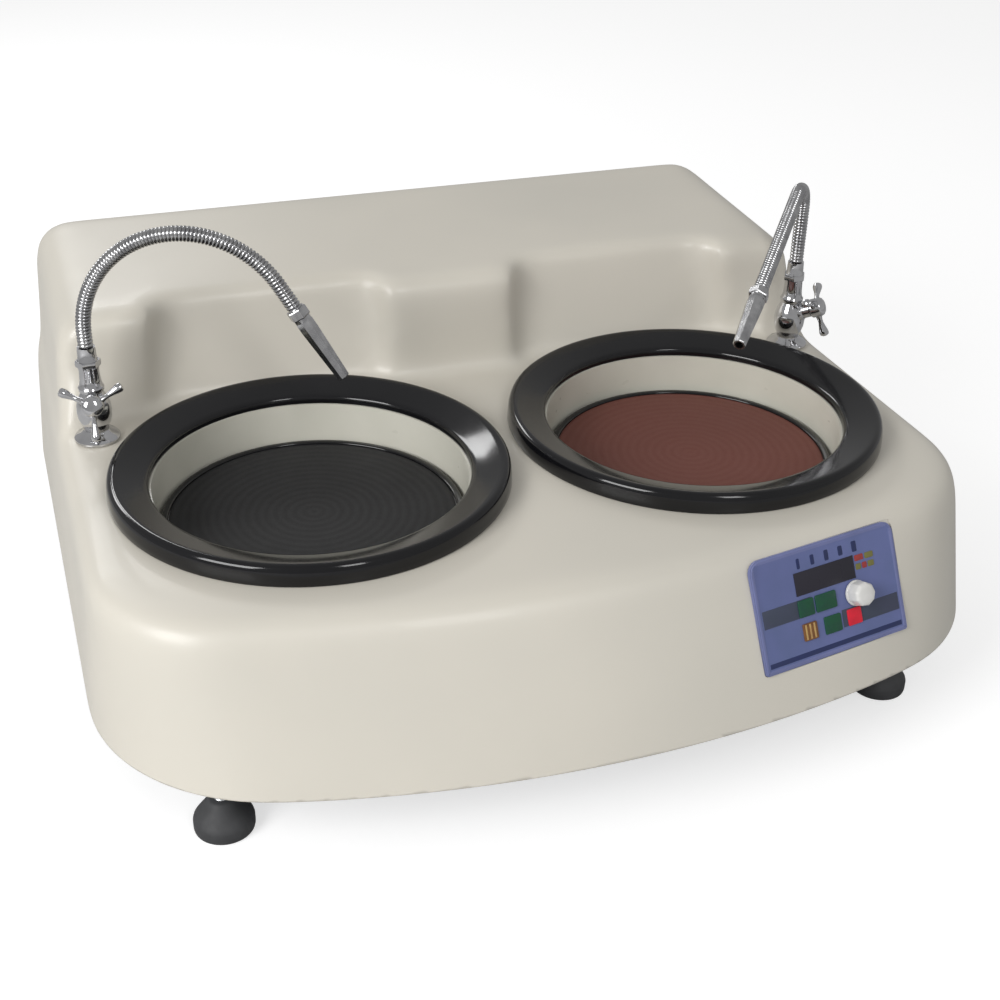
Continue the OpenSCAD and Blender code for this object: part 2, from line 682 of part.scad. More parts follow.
module key(at) at_panel() {
    panel_plate(at, at[2], at[3], panel_proud + key_travel + 0.4, 3.2);
    panel_plate(at, 4, 4, panel_proud + key_travel - 2.2, 6);
}

module key_up() color("darkgreen") key(KEY_UP);
module key_down() color("darkgreen") key(KEY_DOWN);
module key_start() color("green") key(KEY_START);
module key_stop() color("crimson") key(KEY_STOP);
module key_mode() color("goldenrod") key(KEY_MODE);

// ---------------------------------------------------------------- rear connections

// Three-pin mains inlet in the rear pan
module mains_inlet() color("black") translate([mains_x, pan_floor_y, electric_z]) difference() {
    union() {
        translate([-14, -18, -10.2]) cube([28, 21, 20.4]);
        translate([-20, sheet_t, -15]) cube([40, 3, 30]);
    }
    translate([-11, -12, -7.2]) cube([22, 30, 14.4]);
}

module switch_housing() color("black") translate([switch_x, pan_floor_y, electric_z]) difference() {
    union() {
        translate([-6.5, -12, -10]) cube([13, 15, 20]);
        translate([-8.5, sheet_t, -12]) cube([17, 1.5, 24]);
    }
    translate([-4.9, -6, -8.2]) cube([9.8, 20, 16.4]);
}

// Rocker of the main switch, at rest tilted to off
module main_switch() color("firebrick") translate([switch_x, pan_floor_y + sheet_t, electric_z])
    rotate([rocker_tilt, 0, 0]) translate([-4.4, -3, -7]) cube([8.8, 6, 14]);

// ---------------------------------------------------------------- feet

// Rubber foot on a threaded stud
module foot(x, y) color([0.16, 0.16, 0.17]) translate([x, y, 0]) {
    rotate_extrude() polygon([[0, 0], [foot_r - 2, 0], [foot_r, 2], [foot_r, 9], [foot_r - 2, 13],
        [foot_r - 11, 24], [foot_r - 13, 26], [0, 26]]);
    translate([0, 0, 25]) cylinder(r = stud_r, h = 46 + foot_travel);
}

module foot_front_left() foot(-foot_x, foot_front_y);
module foot_front_right() foot(foot_x, foot_front_y);
module foot_rear_left() foot(-foot_x, foot_rear_y);
module foot_rear_right() foot(foot_x, foot_rear_y);

module foot_nuts() color("silver") for (sx = [-1, 1]) for (y = [foot_front_y, foot_rear_y])
    translate([sx * foot_x, y, 0]) difference() {
        translate([0, 0, skirt_z - 8]) cylinder(r = 10.5, h = 8, $fn = 6);
        translate([0, 0, skirt_z - 9]) cylinder(r = stud_r + running_gap, h = 10);
    }

// ---------------------------------------------------------------- assembly

case_shell();
base_plate();
chassis_plate();
chassis_posts();
case_screws();
rear_pan();
left_bowl();
right_bowl();
left_ring();
right_ring();
left_platen();
right_platen();
left_paper();
right_paper();
left_hoop();
right_hoop();
left_spindle();
right_spindle();
left_pulley();
right_pulley();
left_bearing_housing();
right_bearing_housing();
left_bearings();
right_bearings();
left_belt();
right_belt();
motor();
motor_terminal_box();
motor_shaft();
motor_pulley();
inverter();
left_drain_pipe();
right_drain_pipe();
water_pipes();
left_tap();
right_tap();
left_tap_handle();
right_tap_handle();
left_spout();
right_spout();
left_nozzle();
right_nozzle();
tap_nuts();
panel_fascia();
panel_box();
display_window();
speed_knob();
key_up();
key_down();
key_start();
key_stop();
key_mode();
mains_inlet();
switch_housing();
main_switch();
foot_front_left();
foot_front_right();
foot_rear_left();
foot_rear_right();
foot_nuts();
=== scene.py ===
"""Visual model of a twin-disc bench grinding and polishing machine with two water taps."""
import json
import logging
import math
from collections.abc import Iterable, Sequence
from dataclasses import dataclass
from enum import Enum

import bmesh
import bpy
from mathutils import Matrix, Vector


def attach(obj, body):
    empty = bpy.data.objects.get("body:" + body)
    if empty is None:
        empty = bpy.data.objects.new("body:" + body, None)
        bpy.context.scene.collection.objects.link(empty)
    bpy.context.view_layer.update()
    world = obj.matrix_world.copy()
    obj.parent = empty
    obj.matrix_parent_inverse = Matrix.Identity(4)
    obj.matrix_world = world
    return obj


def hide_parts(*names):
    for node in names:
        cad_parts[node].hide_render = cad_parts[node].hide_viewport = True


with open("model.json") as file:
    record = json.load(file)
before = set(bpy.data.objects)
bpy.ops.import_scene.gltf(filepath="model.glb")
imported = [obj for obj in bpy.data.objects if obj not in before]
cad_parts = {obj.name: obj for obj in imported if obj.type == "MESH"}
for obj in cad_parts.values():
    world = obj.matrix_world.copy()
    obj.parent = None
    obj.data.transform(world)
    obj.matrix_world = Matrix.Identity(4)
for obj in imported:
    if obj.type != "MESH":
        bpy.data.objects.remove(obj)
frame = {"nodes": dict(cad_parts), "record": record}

LOG = logging.getLogger("machine")
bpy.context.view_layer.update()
MM = 0.001
Colour = tuple[float, float, float]
Point = tuple[float, float]


class Side(Enum):
    """The two working stations of the machine."""

    LEFT = "left"
    RIGHT = "right"

    @property
    def sign(self) -> int:
        """-1 on the left and 1 on the right."""
        return -1 if self is Side.LEFT else 1


# ------------------------------------------------------------------ finishes


@dataclass(frozen=True)
class Finish:
    """A plain surface: mottled colour, uneven gloss and a fine relief.

    The second colour is what the mottling drifts towards. Scales are in features per metre.
    """

    name: str
    colour: Colour
    second: Colour
    roughness: float = 0.45
    spread: float = 0.06
    metallic: float = 0.0
    coat: float = 0.0
    mottle_scale: float = 14.0
    grain_scale: float = 700.0
    grain_depth: float = 0.05
    shine: float = 0.5

    def material(self) -> bpy.types.Material:
        """Returns this finish's material, made once."""
        known = bpy.data.materials.get(self.name)
        if known is not None:
            return known
        made = bpy.data.materials.new(self.name)
        made.use_nodes = True
        tree = made.node_tree
        shader = tree.nodes["Principled BSDF"]
        shader.inputs["Metallic"].default_value = self.metallic
        shader.inputs["Coat Weight"].default_value = self.coat
        shader.inputs["Coat Roughness"].default_value = 0.08
        shader.inputs["Specular IOR Level"].default_value = self.shine
        place = tree.nodes.new("ShaderNodeTexCoord")
        tree.links.new(self.pattern(tree, place.outputs["Object"]), shader.inputs["Base Color"])
        fine = noise(tree, place.outputs["Object"], self.grain_scale, 3.0)
        gloss = tree.nodes.new("ShaderNodeMapRange")
        gloss.inputs["To Min"].default_value = max(self.roughness - self.spread, 0.02)
        gloss.inputs["To Max"].default_value = self.roughness + self.spread
        cloud = noise(tree, place.outputs["Object"], self.mottle_scale * 5, 2.0)
        tree.links.new(cloud, gloss.inputs["Value"])
        tree.links.new(gloss.outputs["Result"], shader.inputs["Roughness"])
        bump = tree.nodes.new("ShaderNodeBump")
        bump.inputs["Strength"].default_value = self.grain_depth
        bump.inputs["Distance"].default_value = 0.0004
        tree.links.new(fine, bump.inputs["Height"])
        tree.links.new(bump.outputs["Normal"], shader.inputs["Normal"])
        return made

    def pattern(self, tree: bpy.types.NodeTree, place: bpy.types.NodeSocket) -> bpy.types.NodeSocket:
        """Builds the colour of the surface.

        Args:
            tree: the material's nodes.
            place: the object's coordinates.

        Returns:
            The socket that carries the colour.
        """
        cloud = noise(tree, place, self.mottle_scale, 2.5)
        return blend_colours(tree, cloud, self.colour, self.second)


@dataclass(frozen=True)
class Grit(Finish):
    """An abrasive sheet: fine speckle, and faint rings worn round the disc's axis."""

    axis_x: float = 0.0
    axis_y: float = 0.0
    worn: Colour = (0.1, 0.1, 0.1)

    def pattern(self, tree: bpy.types.NodeTree, place: bpy.types.NodeSocket) -> bpy.types.NodeSocket:
        """Speckle first, then worn rings over it.

        Args:
            tree: the material's nodes.
            place: the object's coordinates.

        Returns:
            The socket that carries the colour.
        """
        speckle = noise(tree, place, 2600.0, 2.0)
        grit = blend_colours(tree, speckle, self.colour, self.second)
        centre = tree.nodes.new("ShaderNodeMapping")
        centre.inputs["Location"].default_value = (-self.axis_x * MM, -self.axis_y * MM, 0.0)
        tree.links.new(place, centre.inputs["Vector"])
        rings = tree.nodes.new("ShaderNodeTexWave")
        rings.wave_type = "RINGS"
        rings.rings_direction = "Z"
        rings.inputs["Scale"].default_value = 45.0
        rings.inputs["Distortion"].default_value = 1.2
        rings.inputs["Detail"].default_value = 3.0
        tree.links.new(centre.outputs["Vector"], rings.inputs["Vector"])
        mix = tree.nodes.new("ShaderNodeMix")
        mix.data_type = "RGBA"
        share = tree.nodes.new("ShaderNodeMapRange")
        share.inputs["To Max"].default_value = 0.22
        tree.links.new(rings.outputs["Fac"], share.inputs["Value"])
        tree.links.new(share.outputs["Result"], mix.inputs["Factor"])
        tree.links.new(grit, mix.inputs["A"])
        mix.inputs["B"].default_value = (*self.worn, 1.0)
        return mix.outputs["Result"]


def noise(tree: bpy.types.NodeTree, place: bpy.types.NodeSocket, scale: float,
          detail: float) -> bpy.types.NodeSocket:
    """Adds a noise texture.

    Args:
        tree: the material's nodes.
        place: the coordinates that it reads.
        scale: features per metre.
        detail: octaves of finer noise.

    Returns:
        The noise value's socket.
    """
    node = tree.nodes.new("ShaderNodeTexNoise")
    node.inputs["Scale"].default_value = scale
    node.inputs["Detail"].default_value = detail
    tree.links.new(place, node.inputs["Vector"])
    return node.outputs["Fac"]


def blend_colours(tree: bpy.types.NodeTree, share: bpy.types.NodeSocket, first: Colour,
                  second: Colour) -> bpy.types.NodeSocket:
    """Drifts between two colours.

    Args:
        tree: the material's nodes.
        share: what chooses between them.
        first: the colour at low values.
        second: the colour at high values.

    Returns:
        The colour's socket.
    """
    ramp = tree.nodes.new("ShaderNodeValToRGB")
    ramp.color_ramp.elements[0].position = 0.34
    ramp.color_ramp.elements[0].color = (*first, 1.0)
    ramp.color_ramp.elements[1].position = 0.68
    ramp.color_ramp.elements[1].color = (*second, 1.0)
    tree.links.new(share, ramp.inputs["Fac"])
    return ramp.outputs["Color"]


GELCOAT = Finish("cream_gelcoat", (0.645, 0.61, 0.535), (0.60, 0.572, 0.505), 0.4, 0.05,
                 coat=0.08, mottle_scale=5.0, grain_scale=420.0, grain_depth=0.035)
BOWL_CREAM = Finish("bowl_cream", (0.66, 0.645, 0.565), (0.60, 0.59, 0.51), 0.3, 0.06,
                    coat=0.2, mottle_scale=16.0, grain_scale=500.0, grain_depth=0.03)
BLACK_GLOSS = Finish("black_polished", (0.004, 0.004, 0.005), (0.006, 0.006, 0.007), 0.1, 0.02,
                     mottle_scale=20.0, grain_scale=260.0, grain_depth=0.012, shine=0.4)
CHROME = Finish("polished_chrome", (0.62, 0.62, 0.63), (0.5, 0.5, 0.515), 0.1, 0.04, 1.0,
                mottle_scale=60.0, grain_scale=500.0, grain_depth=0.03)
HOSE = Finish("corrugated_steel", (0.5, 0.5, 0.505), (0.34, 0.34, 0.35), 0.2, 0.06, 1.0,
              mottle_scale=90.0, grain_scale=900.0, grain_depth=0.05)
NOZZLE = Finish("brushed_nozzle", (0.55, 0.55, 0.555), (0.36, 0.36, 0.37), 0.22, 0.07, 1.0,
                mottle_scale=90.0, grain_scale=1400.0, grain_depth=0.06)
STEEL = Finish("zinc_steel", (0.55, 0.56, 0.57), (0.44, 0.45, 0.46), 0.34, 0.08, 1.0,
               mottle_scale=40.0, grain_scale=900.0, grain_depth=0.06)
ALUMINIUM = Finish("machined_aluminium", (0.7, 0.7, 0.71), (0.6, 0.6, 0.62), 0.3, 0.07, 1.0,
                   mottle_scale=40.0, grain_scale=1500.0, grain_depth=0.05)
IRON = Finish("machined_iron", (0.19, 0.19, 0.2), (0.14, 0.14, 0.145), 0.5, 0.1, 0.8,
              mottle_scale=70.0, grain_scale=700.0, grain_depth=0.25)
GREY_PAINT = Finish("grey_enamel", (0.16, 0.17, 0.185), (0.13, 0.14, 0.15), 0.42, 0.06,
                    mottle_scale=30.0, grain_scale=450.0, grain_depth=0.12)
RUBBER = Finish("dark_rubber", (0.036, 0.037, 0.039), (0.052, 0.053, 0.056), 0.62, 0.08,
                mottle_scale=60.0, grain_scale=900.0, grain_depth=0.2)
DARK_PLASTIC = Finish("dark_plastic", (0.02, 0.02, 0.021), (0.028, 0.028, 0.03), 0.45, 0.06,
                      mottle_scale=50.0, grain_scale=1600.0, grain_depth=0.15)
PIPE = Finish("pale_pipe", (0.62, 0.62, 0.59), (0.56, 0.56, 0.53), 0.4, 0.06)
COPPER = Finish("plain_copper", (0.7, 0.38, 0.25), (0.45, 0.24, 0.16), 0.3, 0.08, 1.0)
FILM = Finish("blue_film", (0.125, 0.15, 0.335), (0.105, 0.135, 0.285), 0.42, 0.06,
              mottle_scale=28.0, grain_scale=2200.0, grain_depth=0.06)
FILM_EDGE = Finish("blue_film_edge", (0.165, 0.185, 0.37), (0.135, 0.155, 0.31), 0.34, 0.05,
                   mottle_scale=28.0, grain_scale=2200.0, grain_depth=0.05)
SLATE = Finish("slate_print", (0.048, 0.056, 0.098), (0.04, 0.052, 0.078), 0.45, 0.05,
               mottle_scale=40.0, grain_scale=2200.0, grain_depth=0.05)
NAVY = Finish("navy_print", (0.014, 0.024, 0.1), (0.017, 0.026, 0.085), 0.42, 0.05,
              mottle_scale=60.0, grain_scale=2200.0, grain_depth=0.05)
WINDOW = Finish("smoked_window", (0.085, 0.083, 0.085), (0.15, 0.15, 0.147), 0.24, 0.05,
                coat=0.15, mottle_scale=70.0, grain_depth=0.02)
FRAME_DARK = Finish("window_frame", (0.012, 0.011, 0.02), (0.018, 0.016, 0.026), 0.35, 0.05)
KEY_GREEN = Finish("green_key", (0.004, 0.075, 0.03), (0.006, 0.06, 0.035), 0.38, 0.06,
                   mottle_scale=140.0, grain_scale=1800.0)
KEY_RED = Finish("red_key", (0.72, 0.012, 0.035), (0.62, 0.01, 0.03), 0.36, 0.06,
                 mottle_scale=140.0, grain_scale=1800.0)
KEY_AMBER = Finish("amber_key", (0.2, 0.085, 0.022), (0.15, 0.06, 0.018), 0.4, 0.06,
                   mottle_scale=140.0, grain_scale=1800.0)
AMBER_STRIPE = Finish("amber_stripe", (0.5, 0.33, 0.12), (0.42, 0.25, 0.1), 0.4, 0.06,
                      mottle_scale=200.0, grain_scale=1800.0)
KNOB_WHITE = Finish("white_knob", (0.72, 0.71, 0.69), (0.66, 0.655, 0.63), 0.3, 0.05,
                    coat=0.1, mottle_scale=120.0, grain_scale=1500.0)
LAMP_RED = Finish("red_lens", (0.3, 0.03, 0.03), (0.4, 0.06, 0.04), 0.25, 0.05, coat=0.3)
LAMP_OLIVE = Finish("olive_lens", (0.17, 0.16, 0.04), (0.12, 0.12, 0.03), 0.25, 0.05, coat=0.3)
SWITCH_RED = Finish("red_rocker", (0.42, 0.015, 0.015), (0.36, 0.012, 0.012), 0.22, 0.04, coat=0.3)

SLOT_FINISHES: dict[str, Finish] = {
    "case": BOWL_CREAM, "black_gloss": BLACK_GLOSS, "chrome": CHROME, "spout_steel": HOSE,
    "aluminium": ALUMINIUM, "steel": STEEL, "grey_paint": GREY_PAINT, "iron": IRON,
    "paper_grey": DARK_PLASTIC, "paper_brown": DARK_PLASTIC, "rubber": RUBBER,
    "belt_rubber": RUBBER, "panel_blue": FILM, "window": WINDOW, "key_green": KEY_GREEN,
    "key_red": KEY_RED, "key_amber": KEY_AMBER, "knob_white": KNOB_WHITE,
    "dark_plastic": DARK_PLASTIC, "switch_red": SWITCH_RED, "pipe_plastic": PIPE,
    "copper": COPPER,
}


# ------------------------------------------------------------------ shaping


def lathe(profile: Sequence[Point], steps: int = 96, closed: bool = True) -> bmesh.types.BMesh:
    """Turns a profile round the z axis.

    Args:
        profile: (radius, height) pairs in millimetres.
        steps: divisions of the full turn.
        closed: whether the profile's last point joins its first.

    Returns:
        The turned mesh, closed at its poles.
    """
    bm = bmesh.new()
    verts = [bm.verts.new((r, 0.0, z)) for r, z in profile]
    pairs = list(zip(verts, verts[1:]))
    if closed:
        pairs.append((verts[-1], verts[0]))
    edges = [bm.edges.new(pair) for pair in pairs]
    bmesh.ops.spin(bm, geom=verts + edges, cent=(0, 0, 0), axis=(0, 0, 1), dvec=(0, 0, 0),
                   angle=math.tau, steps=steps, use_merge=True, use_duplicate=False)
    bmesh.ops.remove_doubles(bm, verts=bm.verts[:], dist=1e-4)
    bmesh.ops.recalc_face_normals(bm, faces=bm.faces[:])
    return bm


def plate(size: tuple[float, float, float], centre: tuple[float, float, float],
          corner: float = 0.0) -> bmesh.types.BMesh:
    """A plate with rounded corners, flat across y.

    Args:
        size: width, thickness and height in millimetres.
        centre: the middle of the plate.
        corner: radius of the four corners seen from the front.

    Returns:
        The plate's mesh.
    """
    bm = bmesh.new()
    bmesh.ops.create_cube(bm, size=1.0)
    bmesh.ops.scale(bm, vec=size, verts=bm.verts[:])
    if corner:
        across = [e for e in bm.edges
                  if abs((e.verts[0].co - e.verts[1].co).normalized().y) > 0.9]
        bmesh.ops.bevel(bm, geom=across, offset=corner, segments=6, profile=0.5,
                        affect="EDGES", material=-1)
    bmesh.ops.translate(bm, vec=centre, verts=bm.verts[:])
    return bm


def hull(points: Iterable[Vector]) -> bmesh.types.BMesh:
    """The convex solid round some points."""
    bm = bmesh.new()
    for p in points:
        bm.verts.new(p)
    return close_hull(bm)


def close_hull(bm: bmesh.types.BMesh) -> bmesh.types.BMesh:
    """Leaves only the convex hull of a mesh's vertices."""
    bmesh.ops.remove_doubles(bm, verts=bm.verts[:], dist=1e-3)
    bmesh.ops.delete(bm, geom=bm.faces[:], context="FACES_ONLY")
    bmesh.ops.delete(bm, geom=bm.edges[:], context="EDGES_FACES")
    made = bmesh.ops.convex_hull(bm, input=bm.verts[:], use_existing_faces=False)
    spare = [g for g in made["geom_interior"] + made["geom_unused"]
             if isinstance(g, bmesh.types.BMVert) and g.is_valid]
    bmesh.ops.delete(bm, geom=list(set(spare)), context="VERTS")
    bmesh.ops.recalc_face_normals(bm, faces=bm.faces[:])
    return bm


def joined(parts: Iterable[bmesh.types.BMesh]) -> bmesh.types.BMesh:
    """One mesh from several, which are freed."""
    whole = bmesh.new()
    for part in parts:
        carrier = bpy.data.meshes.new("carrier")
        part.to_mesh(carrier)
        part.free()
        whole.from_mesh(carrier)
        bpy.data.meshes.remove(carrier)
    return whole


def placed(bm: bmesh.types.BMesh, matrix: Matrix) -> bmesh.types.BMesh:
    """The same mesh, moved."""
    bmesh.ops.transform(bm, matrix=matrix, verts=bm.verts[:])
    return bm


def piece(bm: bmesh.types.BMesh, name: str, body: str, finish: Finish,
          replaces: Sequence[str] = (), edge: float = 0.0,
          crease: float = 38.0) -> bpy.types.Object:
    """Makes a finished piece from a mesh in millimetres.

    Args:
        bm: the mesh, which is freed.
        name: the piece's name.
        body: the body that it rides on.
        finish: its surface.
        replaces: the nodes that it stands for.
        edge: width of its softened edges, in millimetres.
        crease: angle in degrees past which an edge stays crisp.

    Returns:
        The new object.
    """
    bmesh.ops.scale(bm, vec=(MM, MM, MM), verts=bm.verts[:])
    mesh = bpy.data.meshes.new(name)
    bm.to_mesh(mesh)
    bm.free()
    mesh.shade_smooth()
    made = bpy.data.objects.new(name, mesh)
    bpy.context.scene.collection.objects.link(made)
    mesh.materials.append(finish.material())
    if edge:
        soft = made.modifiers.new("soft_edges", "BEVEL")
        soft.width = edge * MM
        soft.segments = 3
        soft.limit_method = "ANGLE"
        soft.angle_limit = math.radians(crease)
    else:
        mesh.set_sharp_from_angle(angle=math.radians(crease))
    if replaces:
        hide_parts(*replaces)
    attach(made, body)
    return made


def temporary(bm: bmesh.types.BMesh, name: str) -> bpy.types.Object:
    """A working object in millimetres, for the modifiers that shape the case."""
    mesh = bpy.data.meshes.new(name)
    bm.to_mesh(mesh)
    bm.free()
    made = bpy.data.objects.new(name, mesh)
    bpy.context.scene.collection.objects.link(made)
    return made


def combine(base: bpy.types.Object, others: Sequence[bpy.types.Object], operation: str) -> None:
    """Adds or cuts working objects, and removes them.

    Args:
        base: the object that changes.
        others: what is added or cut away.
        operation: UNION or DIFFERENCE.
    """
    for other in others:
        step = base.modifiers.new("combine", "BOOLEAN")
        step.operation = operation
        step.solver = "EXACT"
        step.object = other
        settle(base)
        bpy.data.meshes.remove(other.data)


def settle(base: bpy.types.Object) -> None:
    """Applies a working object's modifiers."""
    bpy.context.view_layer.update()
    graph = bpy.context.evaluated_depsgraph_get()
    result = bpy.data.meshes.new_from_object(base.evaluated_get(graph))
    base.modifiers.clear()
    base.data = result


def dressed_copy(node: str, name: str, body: str, finish: Finish,
                 edge: float = 0.5) -> bpy.types.Object:
    """A node's own shape with its edges softened.

    Args:
        node: the node that is copied and replaced.
        name: the new piece's name.
        body: the body that it rides on.
        finish: its surface.
        edge: width of its softened edges, in millimetres.

    Returns:
        The new object.
    """
    bm = bmesh.new()
    bm.from_mesh(frame["nodes"][node].data)
    bmesh.ops.scale(bm, vec=(1 / MM,) * 3, verts=bm.verts[:])
    bmesh.ops.remove_doubles(bm, verts=bm.verts[:], dist=0.01)
    bmesh.ops.dissolve_limit(bm, angle_limit=math.radians(1), verts=bm.verts[:],
                             edges=bm.edges[:])
    bm.verts.ensure_lookup_table()
    return piece(bm, name, body, finish, (node,), edge, 32.0)


# ------------------------------------------------------------------ case


@dataclass
class Case:
    """The moulded case: a low body, a rear housing, and a scoop behind each ring."""

    half_width: float = 331.0
    front: float = -300.0
    back: float = 300.0
    deck: float = 175.0
    skirt: float = 69.0
    ridge_top: float = 265.0
    ridge_half: float = 312.0
    disc_x: float = 151.8
    disc_y: float = -53.0
    opening_r: float = 119.7
    tap_x: float = 292.0
    tap_y: float = 54.0
    voxel: float = 4.0
    softening: int = 18
    wall: float = 4.0

    def outline(self, height: float, half: float, front: float, arc_r: float,
                corner_r: float) -> list[Vector]:
        """Points round the case at one height.

        Args:
            height: height above the floor.
            half: half the width there.
            front: how far forward it reaches.
            arc_r: radius of the front.
            corner_r: radius of the two front corners.

        Returns:
            The points, in order.
        """
        cx = half - corner_r
        cy = front + arc_r - math.sqrt((arc_r - corner_r) ** 2 - cx * cx)
        lean = math.atan2(cy - front - arc_r, cx)
        back_r = 40.0
        right: list[Vector] = []
        for k in range(13):
            a = -math.pi / 2 + (lean + math.pi / 2) * k / 12
            right.append(Vector((arc_r * math.cos(a), front + arc_r + arc_r * math.sin(a), height)))
        for k in range(1, 15):
            a = lean * (1 - k / 14)
            right.append(Vector((cx + corner_r * math.cos(a), cy + corner_r * math.sin(a), height)))
        for k in range(8):
            a = math.pi / 2 * k / 7
            right.append(Vector((half - back_r + back_r * math.cos(a),
                                 self.back - back_r + back_r * math.sin(a), height)))
        left = [Vector((-p.x, p.y, p.z)) for p in reversed(right) if p.x > 1e-6]
        return right + left

    def body(self) -> bpy.types.Object:
        """The low body, from below the skirt up to the deck."""
        levels = [
            (45.0, self.half_width + 1.9, self.front - 12.1, 790.0, 150.0),
            (self.deck - 14, self.half_width - 8, self.front + 47.0, 1140.0, 96.0),
            (self.deck - 5, self.half_width - 10, self.front + 52.0, 1143.0, 95.0),
            (self.deck, self.half_width - 15, self.front + 59.0, 1150.0, 94.0),
        ]
        points = [p for level in levels for p in self.outline(*level)]
        return temporary(hull(points), "body_form")

    def housing(self) -> bpy.types.Object:
        """The rear housing, with large end corners and softened long edges."""
        bm = bmesh.new()
        reach = 14.0
        for sign in (-1, 1):
            for degrees in (0, 30, 60, 90):
                a = math.radians(degrees)
                for y, drop in ((104.0, 8.0), (self.back - 14.0, 0.0)):
                    spot = (sign * (self.ridge_half - 28 + reach * math.cos(a)), y,
                            self.ridge_top - drop - 28 + reach * math.sin(a))
                    bmesh.ops.create_uvsphere(bm, u_segments=20, v_segments=12, radius=14.0,
                                              matrix=Matrix.Translation(spot))
            for x, y in ((self.half_width - 11, 84.0), (self.half_width - 11, self.back - 40),
                         (self.half_width - 45, self.back)):
                bm.verts.new((sign * x, y, self.deck - 20))
        return temporary(close_hull(bm), "housing_form")

    def shoulder(self, sign: int) -> bpy.types.Object:
        """The slope that carries an end of the housing down to the deck."""
        corners = [(258, 80, 168), (319, 62, 168), (258, 104, 248), (296, 108, 246),
                   (314, 118, 205), (258, 150, 168), (320, 150, 168), (258, 150, 252),
                   (298, 150, 250)]
        return temporary(hull([Vector((sign * x, y, z)) for x, y, z in corners]), "shoulder_form")

    def scoop(self, sign: int) -> bpy.types.Object:
        """The hollow behind a ring: it leans back, and is narrower at the top."""
        points: list[Vector] = []
        for height, inner, outer, wall_y in ((self.deck - 0.1, -104.0, 104.0, 97.0),
                                             (self.deck + 100, -96.0, 84.0, 122.0)):
            corner = 26.0
            for k in range(7):
                a = math.pi / 2 * k / 6
                dx, dy = corner * math.cos(a), corner * math.sin(a)
                points.append(Vector((outer - corner + dx, wall_y - corner + dy, height)))
                points.append(Vector((inner + corner - dx, wall_y - corner + dy, height)))
            points += [Vector((outer, -120.0, height)), Vector((inner, -120.0, height))]
        shifted = [Vector((sign * (self.disc_x + p.x), p.y, p.z)) for p in points]
        return temporary(hull(shifted), "scoop_form")

    def openings(self, panel: Matrix) -> list[bpy.types.Object]:
        """Cutters for the bowls, the taps, the panel and the rear pan.

        Args:
            panel: the panel's place.

        Returns:
            The cutters.
        """
        made: list[bpy.types.Object] = []
        for sign in (-1, 1):
            for x, y, r, steps in ((self.disc_x, self.disc_y, self.opening_r, 128),
                                   (self.tap_x, self.tap_y, 8.3, 32)):
                bm = lathe([(0, 120), (r, 120), (r, 230 if r > 20 else 200), (0, 230 if r > 20 else 200)],
                           steps, closed=False)
                made.append(temporary(placed(bm, Matrix.Translation((sign * x, y, 0))), "round_cut"))
        made.append(temporary(placed(plate((126.0, 42.0, 81.0), (0, -19.0, 0), 2.6), panel), "land_cut"))
        made.append(temporary(placed(plate((108.0, 30.0, 65.0), (0, 14.0, 0)), panel), "box_cut"))
        made.append(temporary(plate((449.0, 20.0, 148.0), (0, 308.0, 145.0)), "rim_cut"))
        made.append(temporary(plate((421.0, 60.0, 129.0), (0, 290.0, 141.0)), "pan_cut"))
        return made

    def build(self, panel: Matrix) -> bpy.types.Object:
        """Models the case and dresses it.

        Args:
            panel: the panel's place, in millimetres.

        Returns:
            The case's skin.
        """
        form = self.body()
        combine(form, [self.housing(), self.shoulder(-1), self.shoulder(1)], "UNION")
        combine(form, [self.scoop(-1), self.scoop(1)], "DIFFERENCE")
        remesh = form.modifiers.new("even_mesh", "REMESH")
        remesh.mode = "VOXEL"
        remesh.voxel_size = self.voxel
        settle(form)
        bm = bmesh.new()
        bm.from_mesh(form.data)
        soft = [v for v in bm.verts if v.co.z > 50.0]
        for _ in range(self.softening):
            bmesh.ops.smooth_vert(bm, verts=soft, factor=0.5, use_axis_x=True, use_axis_y=True,
                                  use_axis_z=True)
        bm.to_mesh(form.data)
        bm.free()
        combine(form, self.openings(panel), "DIFFERENCE")
        bm = bmesh.new()
        bm.from_mesh(form.data)
        self.open_up(bm, panel)
        mesh = form.data
        bpy.data.objects.remove(form)
        bpy.data.meshes.remove(mesh)
        skin = piece(bm, "case_skin", "frame", GELCOAT, ("case_shell",), crease=50.0)
        wall = skin.modifiers.new("wall", "SOLIDIFY")
        wall.thickness = self.wall * MM
        wall.offset = -1.0
        return skin

    def open_up(self, bm: bmesh.types.BMesh, panel: Matrix) -> None:
        """Takes away the floors of the cuts and the underside.

        Args:
            bm: the case's mesh.
            panel: the panel's place.
        """
        to_panel = panel.inverted()
        spare = []
        for face in bm.faces:
            c = face.calc_center_median()
            local = to_panel @ c
            in_disc = math.hypot(abs(c.x) - self.disc_x, c.y - self.disc_y) < self.opening_r + 0.3
            in_tap = math.hypot(abs(c.x) - self.tap_x, c.y - self.tap_y) < 8.6
            in_pan = abs(c.x) < 210.8 and 76.0 < c.z < 206.0 and 255.0 < c.y < 297.9
            in_box = abs(local.x) < 54.3 and abs(local.z) < 32.8 and 2.1 < local.y < 32.0
            if ((in_disc or in_tap) and 115.0 < c.z < self.deck - 1.2) or in_pan or in_box:
                spare.append(face)
        bmesh.ops.delete(bm, geom=spare, context="FACES")
        bmesh.ops.bisect_plane(bm, geom=bm.verts[:] + bm.edges[:] + bm.faces[:], dist=1e-4,
                               plane_co=(0, 0, self.skirt), plane_no=(0, 0, 1), clear_inner=True)


# ------------------------------------------------------------------ discs


